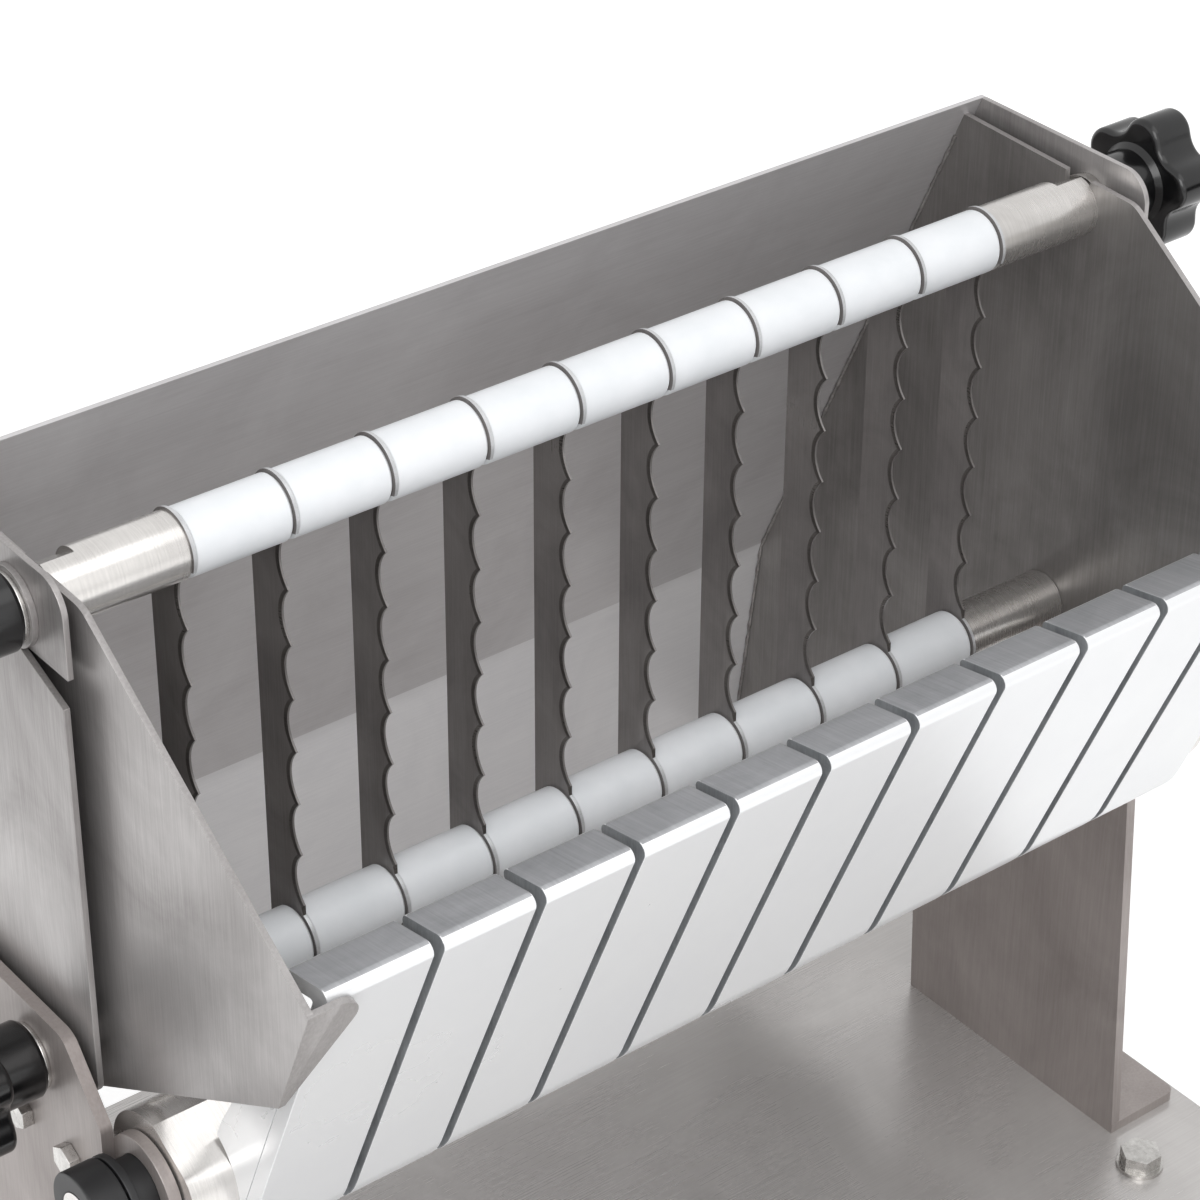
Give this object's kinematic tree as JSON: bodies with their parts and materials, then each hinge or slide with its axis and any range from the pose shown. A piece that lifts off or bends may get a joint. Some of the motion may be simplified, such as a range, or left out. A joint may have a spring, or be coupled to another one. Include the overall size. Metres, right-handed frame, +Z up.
{
  "type": "sausage slicer",
  "caption": "Hand cranked sausage slicer: a slotted jaw on a cranked shaft swings sausages through a row of upright scalloped blades under a steel hood, on a flat base.",
  "frame": {"origin": "middle of the box on the surface it stands on, under the rubber feet", "axes": "+X along the blade rods towards the crank, +Y from the feed side to the hood, +Z up"},
  "size_m": [0.4714, 0.29, 0.3113],
  "materials": {
    "brushed_sheet": "brushed stainless sheet",
    "polished_jaw": "polished stainless plate",
    "turned_steel": "turned stainless bar, satin",
    "blade_steel": "ground blade steel",
    "white_plastic": "milky white plastic, satin",
    "knob_plastic": "glossy black plastic",
    "bush_plastic": "black bearing plastic",
    "foot_rubber": "black rubber",
    "bright_fasteners": "stainless fasteners"
  },
  "bodies": {
    "frame": {"base_plate": "brushed_sheet", "left_leg": "brushed_sheet", "right_leg": "brushed_sheet", "left_side_wall": "brushed_sheet", "right_side_wall": "brushed_sheet", "left_wing": "brushed_sheet", "right_wing": "brushed_sheet", "left_outer_plate": "brushed_sheet", "right_outer_plate": "brushed_sheet", "rear_hood": "brushed_sheet", "left_bearing_block": "brushed_sheet", "right_bearing_block": "brushed_sheet", "upper_rod": "turned_steel", "lower_rod": "turned_steel", "upper_left_sleeve": "turned_steel", "upper_right_sleeve": "turned_steel", "lower_left_sleeve": "turned_steel", "lower_right_sleeve": "turned_steel", "blade_1": "blade_steel", "blade_2": "blade_steel", "blade_3": "blade_steel", "blade_4": "blade_steel", "blade_5": "blade_steel", "blade_6": "blade_steel", "blade_7": "blade_steel", "blade_8": "blade_steel", "blade_9": "blade_steel", "blade_10": "blade_steel", "upper_spacers": "white_plastic", "lower_spacers": "white_plastic", "left_bush": "bush_plastic", "right_bush": "bush_plastic", "rubber_feet": "foot_rubber", "foot_bolts": "bright_fasteners", "leg_bolts": "bright_fasteners", "plate_rings": "bright_fasteners", "knob_washers": "bright_fasteners", "side_screws": "bright_fasteners", "block_screws": "bright_fasteners"},
    "jaw": {"jaw_plate": "polished_jaw", "jaw_drum": "turned_steel", "left_cheek": "polished_jaw", "right_cheek": "polished_jaw", "jaw_screws": "bright_fasteners", "shaft_collar": "bush_plastic", "crank_spacer": "turned_steel", "crank_arm": "turned_steel", "crank_screw": "bright_fasteners", "grip_spindle": "turned_steel", "grip_cap": "turned_steel"},
    "grip": {"crank_grip": "knob_plastic"},
    "upper_left_knob": {"upper_left_knob": "knob_plastic"},
    "upper_right_knob": {"upper_right_knob": "knob_plastic"},
    "lower_left_knob": {"lower_left_knob": "knob_plastic"},
    "lower_right_knob": {"lower_right_knob": "knob_plastic"}
  },
  "joints": [
    {"name": "jaw_swing", "type": "hinge", "parent": "frame", "child": "jaw", "pos_m": [-0.05465, -0.0375, 0.1678], "axis": [-1, 0, 0], "range_deg": [0, 80]},
    {"name": "grip_spin", "type": "hinge", "parent": "jaw", "child": "grip", "pos_m": [0.18335, -0.09062, 0.29733], "axis": [1, 0, 0], "continuous": true},
    {"name": "upper_left_knob_turn", "type": "hinge", "parent": "frame", "child": "upper_left_knob", "pos_m": [-0.21465, 0, 0.294], "axis": [-1, 0, 0], "range_deg": [0, 720]},
    {"name": "upper_right_knob_turn", "type": "hinge", "parent": "frame", "child": "upper_right_knob", "pos_m": [0.10535, 0, 0.294], "axis": [1, 0, 0], "range_deg": [0, 720]},
    {"name": "lower_left_knob_turn", "type": "hinge", "parent": "frame", "child": "lower_left_knob", "pos_m": [-0.21965, 0, 0.181], "axis": [-1, 0, 0], "range_deg": [0, 720]},
    {"name": "lower_right_knob_turn", "type": "hinge", "parent": "frame", "child": "lower_right_knob", "pos_m": [0.11035, 0, 0.181], "axis": [1, 0, 0], "range_deg": [0, 720]}
  ]
}
